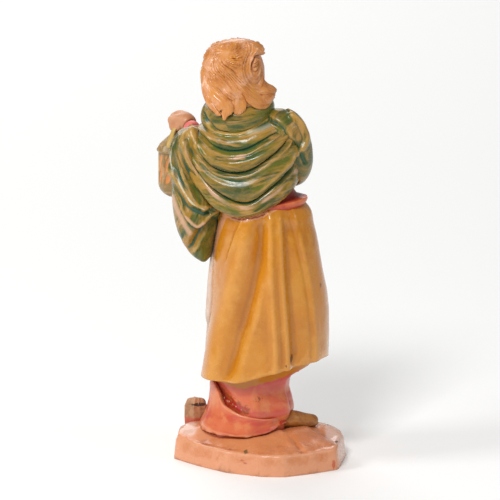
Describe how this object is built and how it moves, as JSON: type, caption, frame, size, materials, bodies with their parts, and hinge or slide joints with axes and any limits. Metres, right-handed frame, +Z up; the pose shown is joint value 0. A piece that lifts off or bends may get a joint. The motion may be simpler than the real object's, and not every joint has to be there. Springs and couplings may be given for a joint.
{
  "type": "nativity innkeeper wife figurine",
  "caption": "Painted nativity figurine of an innkeeper's wife in shawl, overskirt and long dress, holding up a lantern, moulded with her rocky ground base.",
  "frame": {"origin": "on the flat underside, below the middle of the ground base", "axes": "+Z up through the figure, she faces -Y, her left side and the lantern are towards +X"},
  "size_m": [0.0547, 0.0453, 0.125],
  "materials": {
    "painted_polymer": "satin paint with a brown wash",
    "painted_lantern": "satin paint"
  },
  "bodies": {
    "root": {"figurine": "painted_polymer", "lantern": "painted_lantern"}
  },
  "joints": []
}
